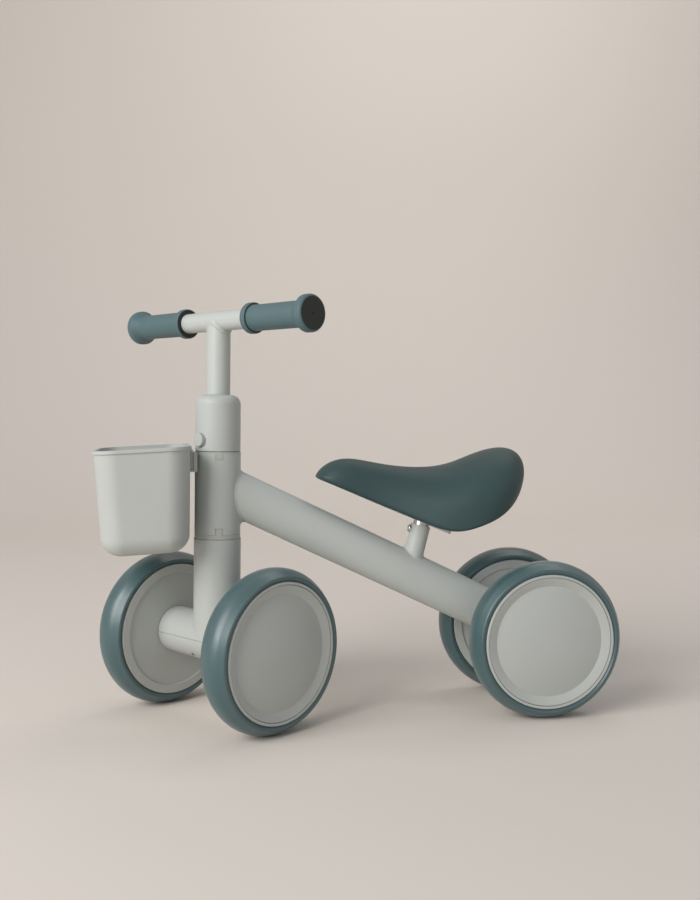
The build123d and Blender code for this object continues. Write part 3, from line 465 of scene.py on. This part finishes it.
# Saddle: moulded foam with a firm skin on its plate. Stations run back from the nose: half width,
# underside and crown above the base. The pole stations round off both ends.
saddleForm = dict(
    nose=106.3, slope=22.6, rows=150, crownSteps=26, sideSteps=10, edgeSteps=7, floorSteps=8,
    shoulder=0.9, crownDrop=0.62, skirt=0.97, edgeRound=4.0,
    plateAhead=4.0, plateLength=58.6, plateWidth=40.6, plateSink=4.1,
    stations=[
        (-1.3, 0.6, 2.2, 3.2), (0, 9, 0.8, 8), (4, 16, 0, 15.5), (17, 21.5, 0, 26.1),
        (49, 25, 0, 34.7), (85, 36, 0, 46.3), (110, 46.5, 0.6, 61), (129, 52, 5.5, 78.6),
        (148, 53, 20, 92.4), (162, 46.5, 35, 94.3), (171.5, 33, 51, 87.6), (176, 17, 62, 78.5),
        (177.4, 0.8, 69.4, 71.2),
    ],
)


def splineThrough(knots, values, where):
    # Natural cubic spline: the bends at the knots solve one linear system, ends unbent.
    gaps = np.diff(knots)
    size = len(knots)
    system = np.eye(size)
    inner = np.arange(1, size - 1)
    system[inner, inner - 1] = gaps[:-1]
    system[inner, inner] = 2 * (gaps[:-1] + gaps[1:])
    system[inner, inner + 1] = gaps[1:]
    rise = np.diff(values, axis=0) / gaps[:, None]
    right = np.zeros_like(values)
    right[1:-1] = 6 * np.diff(rise, axis=0)
    bend = np.linalg.solve(system, right)
    at = np.clip(np.searchsorted(knots, where, side="right") - 1, 0, size - 2)
    gap, left = gaps[at][:, None], (where - knots[at])[:, None]
    rest = gap - left
    return (
        (bend[at] * rest**3 + bend[at + 1] * left**3) / (6 * gap)
        + (values[at] / gap - bend[at] * gap / 6) * rest
        + (values[at + 1] / gap - bend[at + 1] * gap / 6) * left
    )


def saddleSkin(form):
    # Along: stations joined by a cubic spline over their own spacing. Across: an arc over the
    # crown, a curve that falls from its ends to the foot, a quarter round, and the underside,
    # which steps up over the plate. The other half mirrors the first.
    stations = np.array(form["stations"], float)
    spacing = np.linalg.norm(np.diff(stations, axis=0), axis=1)
    knots = np.concatenate([[0], np.cumsum(np.sqrt(spacing))])
    dense = np.linspace(knots[0], knots[-1], 4000)
    denseBack = np.maximum.accumulate(splineThrough(knots, stations, dense)[:, 0])
    plateMiddle = form["nose"] - form["plateAhead"]
    plateEnds = plateMiddle + np.array([-0.5, 0.5])[:, None] * form["plateLength"]
    plateRows = np.interp((plateEnds + np.array([-0.08, 0.08])).ravel(), denseBack, dense)
    where = np.sort(np.concatenate([np.linspace(knots[0], knots[-1], form["rows"]), plateRows]))
    back, half, under, crown = splineThrough(knots, stations, where).T[:, :, None]
    half = np.maximum(half, 0.4)
    crown = np.maximum(crown, under + 0.6)
    height = crown - under
    shoulder = form["shoulder"] * half
    drop = np.minimum(form["crownDrop"] * half, 0.6 * height)
    arcRadius = (shoulder**2 + drop**2) / (2 * drop)
    arcEnd = np.arctan2(shoulder, arcRadius - drop)
    sweep = np.linspace(0, 1, form["crownSteps"])[None]
    crownX = arcRadius * np.sin(arcEnd * sweep)
    crownZ = crown - arcRadius * (1 - np.cos(arcEnd * sweep))
    edge = np.minimum(form["edgeRound"], 0.3 * np.minimum(height, half))
    foot = form["skirt"] * half
    fall = crown - drop - under - edge
    t = np.linspace(0, 1, form["sideSteps"] + 1)[None, 1:]
    pull = 1.1 * fall
    sideX = (
        (2 * t**3 - 3 * t**2 + 1) * shoulder
        + (t**3 - 2 * t**2 + t) * pull * np.cos(arcEnd)
        + (3 * t**2 - 2 * t**3) * foot
    )
    sideZ = (
        (2 * t**3 - 3 * t**2 + 1) * (crown - drop)
        - (t**3 - 2 * t**2 + t) * pull * np.sin(arcEnd)
        + (3 * t**2 - 2 * t**3) * (under + edge)
        - (t**3 - t**2) * pull
    )
    q = np.linspace(0, np.pi / 2, form["edgeSteps"] + 1)[None, 1:]
    edgeX = foot - edge * (1 - np.cos(q))
    edgeZ = under + edge * (1 - np.sin(q))
    insideFoot = np.maximum(foot - edge, 0.05)
    plateHalf = form["plateWidth"] / 2
    onPlate = np.abs(back - plateMiddle) <= form["plateLength"] / 2
    reach = np.minimum(plateHalf, 0.9 * insideFoot)
    steps = np.linspace(1, 0, form["floorSteps"])[None]
    outer = insideFoot + (reach + 0.08 - insideFoot) * np.array([[0.5, 1.0]])
    floorX = np.concatenate([outer, reach * steps], axis=1)
    sink = form["plateSink"] * onPlate * np.ones_like(steps)
    floorZ = np.concatenate([under * np.ones_like(outer), under + sink], axis=1)
    x = np.concatenate([crownX, sideX, edgeX, floorX], axis=1)
    z = np.concatenate([crownZ, sideZ, edgeZ, floorZ], axis=1)
    x = np.concatenate([x, -x[:, -2:0:-1]], axis=1)
    z = np.concatenate([z, z[:, -2:0:-1]], axis=1)
    slope = math.radians(form["slope"])
    forward = np.array([math.cos(slope), 0, math.sin(slope)])
    normal = np.array([-math.sin(slope), 0, math.cos(slope)])
    along = (form["nose"] - back) * np.ones_like(x)
    sideways = np.array([0.0, 1.0, 0.0])
    return postTop + mm * (
        along[..., None] * forward + x[..., None] * sideways + z[..., None] * normal
    )


saddlePad = closedSurface(
    "saddle_pad", saddleSkin(saddleForm), "saddle_skin", "frame", poles=True, sharp=50
)
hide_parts("saddle")
print("saddle: padded skin in place")

# Floor and backdrop: one sheet of matt paper, flat under the bike and swept up behind it.
paper = dict(colour="e6dcd1", width=9.0, front=4.0, back=-1.5, bend=1.2, height=3.0, bendSteps=24)
mattPaper = newMaterial("mattPaper", {"Base Color": linear(paper["colour"]), "Roughness": 0.9})[0]


def paperSweep(form):
    # A profile of flat, quarter round and wall, carried straight across the width.
    turn = np.linspace(0, np.pi / 2, form["bendSteps"])
    y = form["back"] - form["bend"] * np.sin(turn)
    z = form["bend"] * (1 - np.cos(turn))
    y = np.concatenate([[form["front"]], y, [form["back"] - form["bend"]]])
    z = np.concatenate([[0], z, [form["height"]]])
    x = np.array([-0.5, 0.5]) * form["width"]
    return np.stack(np.broadcast_arrays(x[:, None], y[None], z[None]), -1)


sweepGrid = paperSweep(paper)
strip = np.arange(sweepGrid.shape[1])
rows = sweepGrid.shape[1]
sheetFaces = np.stack([strip[:-1], strip[1:], strip[1:] + rows, strip[:-1] + rows], -1)
sheetMesh = bpy.data.meshes.new("paper_sweep")
sheetMesh.from_pydata(sweepGrid.reshape(-1, 3).tolist(), [], sheetFaces[:, ::-1].tolist())
sheetMesh.polygons.foreach_set("use_smooth", np.ones(len(sheetMesh.polygons), bool))
sheetMesh.materials.append(mattPaper)
paperSheet = bpy.data.objects.new("paper_sweep", sheetMesh)
bpy.context.scene.collection.objects.link(paperSheet)

# Light: one large soft lamp ahead of the bike, a weak one behind, one aimed at the backdrop,
# and an even sky.
lamps = [
    dict(name="softKey", place=(1.75, 1.25, 1.2), aim=(0, 0, 0.15), size=1.6, watts=46),
    dict(name="weakFill", place=(-1.8, 1.6, 1.2), aim=(0, 0, 0.15), size=2.0, watts=1.5),
    dict(name="backdropWash", place=(-0.9, -0.9, 2.4), aim=(-1.3, -2.7, 0.8), size=1.6, watts=18),
]
for lamp in lamps:
    light = bpy.data.lights.new(lamp["name"], "AREA")
    light.shape = "DISK"
    light.size = lamp["size"]
    light.energy = lamp["watts"]
    holder = bpy.data.objects.new(lamp["name"], light)
    holder.location = lamp["place"]
    away = Vector(lamp["place"]) - Vector(lamp["aim"])
    holder.rotation_euler = away.to_track_quat("Z", "Y").to_euler()
    bpy.context.scene.collection.objects.link(holder)

sky = dict(light="eef4ff", level=0.36, seen="cfc6bb")
world = bpy.data.worlds.new("studio")
bpy.context.scene.world = world
world.use_nodes = True
tree = world.node_tree
tree.nodes.clear()
rays = addNode(tree, "LightPath").outputs
lit = addNode(tree, "Background", {"Color": linear(sky["light"]), "Strength": sky["level"]})
seen = addNode(tree, "Background", {"Color": linear(sky["seen"]), "Strength": 1.0})
shiny = addNode(
    tree,
    "Math",
    {"operation": "MAXIMUM"},
    {0: rays["Is Glossy Ray"], 1: rays["Is Transmission Ray"]},
)
looked = addNode(
    tree, "Math", {"operation": "MAXIMUM"}, {0: rays["Is Camera Ray"], 1: shiny.outputs["Value"]}
)
both = addNode(
    tree,
    "MixShader",
    links={0: looked.outputs["Value"], 1: lit.outputs["Background"], 2: seen.outputs["Background"]},
)
addNode(tree, "OutputWorld", links={"Surface": both.outputs["Shader"]})
bpy.context.scene.view_settings.view_transform = "Standard"
print("studio: paper, lamps and sky")

# Camera: low and close on the bike's left, as the photograph was taken.
shot = dict(place=(185.575, 890.8, 264.9), yaw=-101.276, down=1.763, roll=0.605, lens=40.2)
yaw, down, roll = (math.radians(shot[angle]) for angle in ("yaw", "down", "roll"))
look = Vector(
    (math.cos(yaw) * math.cos(down), math.sin(yaw) * math.cos(down), -math.sin(down))
)
right = look.cross(Vector((0, 0, 1))).normalized()
above = right.cross(look)
tiltedRight = right * math.cos(roll) + above * math.sin(roll)
tiltedAbove = above * math.cos(roll) - right * math.sin(roll)
cameraData = bpy.data.cameras.new("camera")
cameraData.lens = shot["lens"]
cameraData.sensor_width = 36
camera = bpy.data.objects.new("camera", cameraData)
turned = Matrix((tiltedRight, tiltedAbove, -look)).transposed().to_4x4()
camera.matrix_world = Matrix.Translation(Vector(shot["place"]) * mm) @ turned
bpy.context.scene.collection.objects.link(camera)
bpy.context.scene.camera = camera
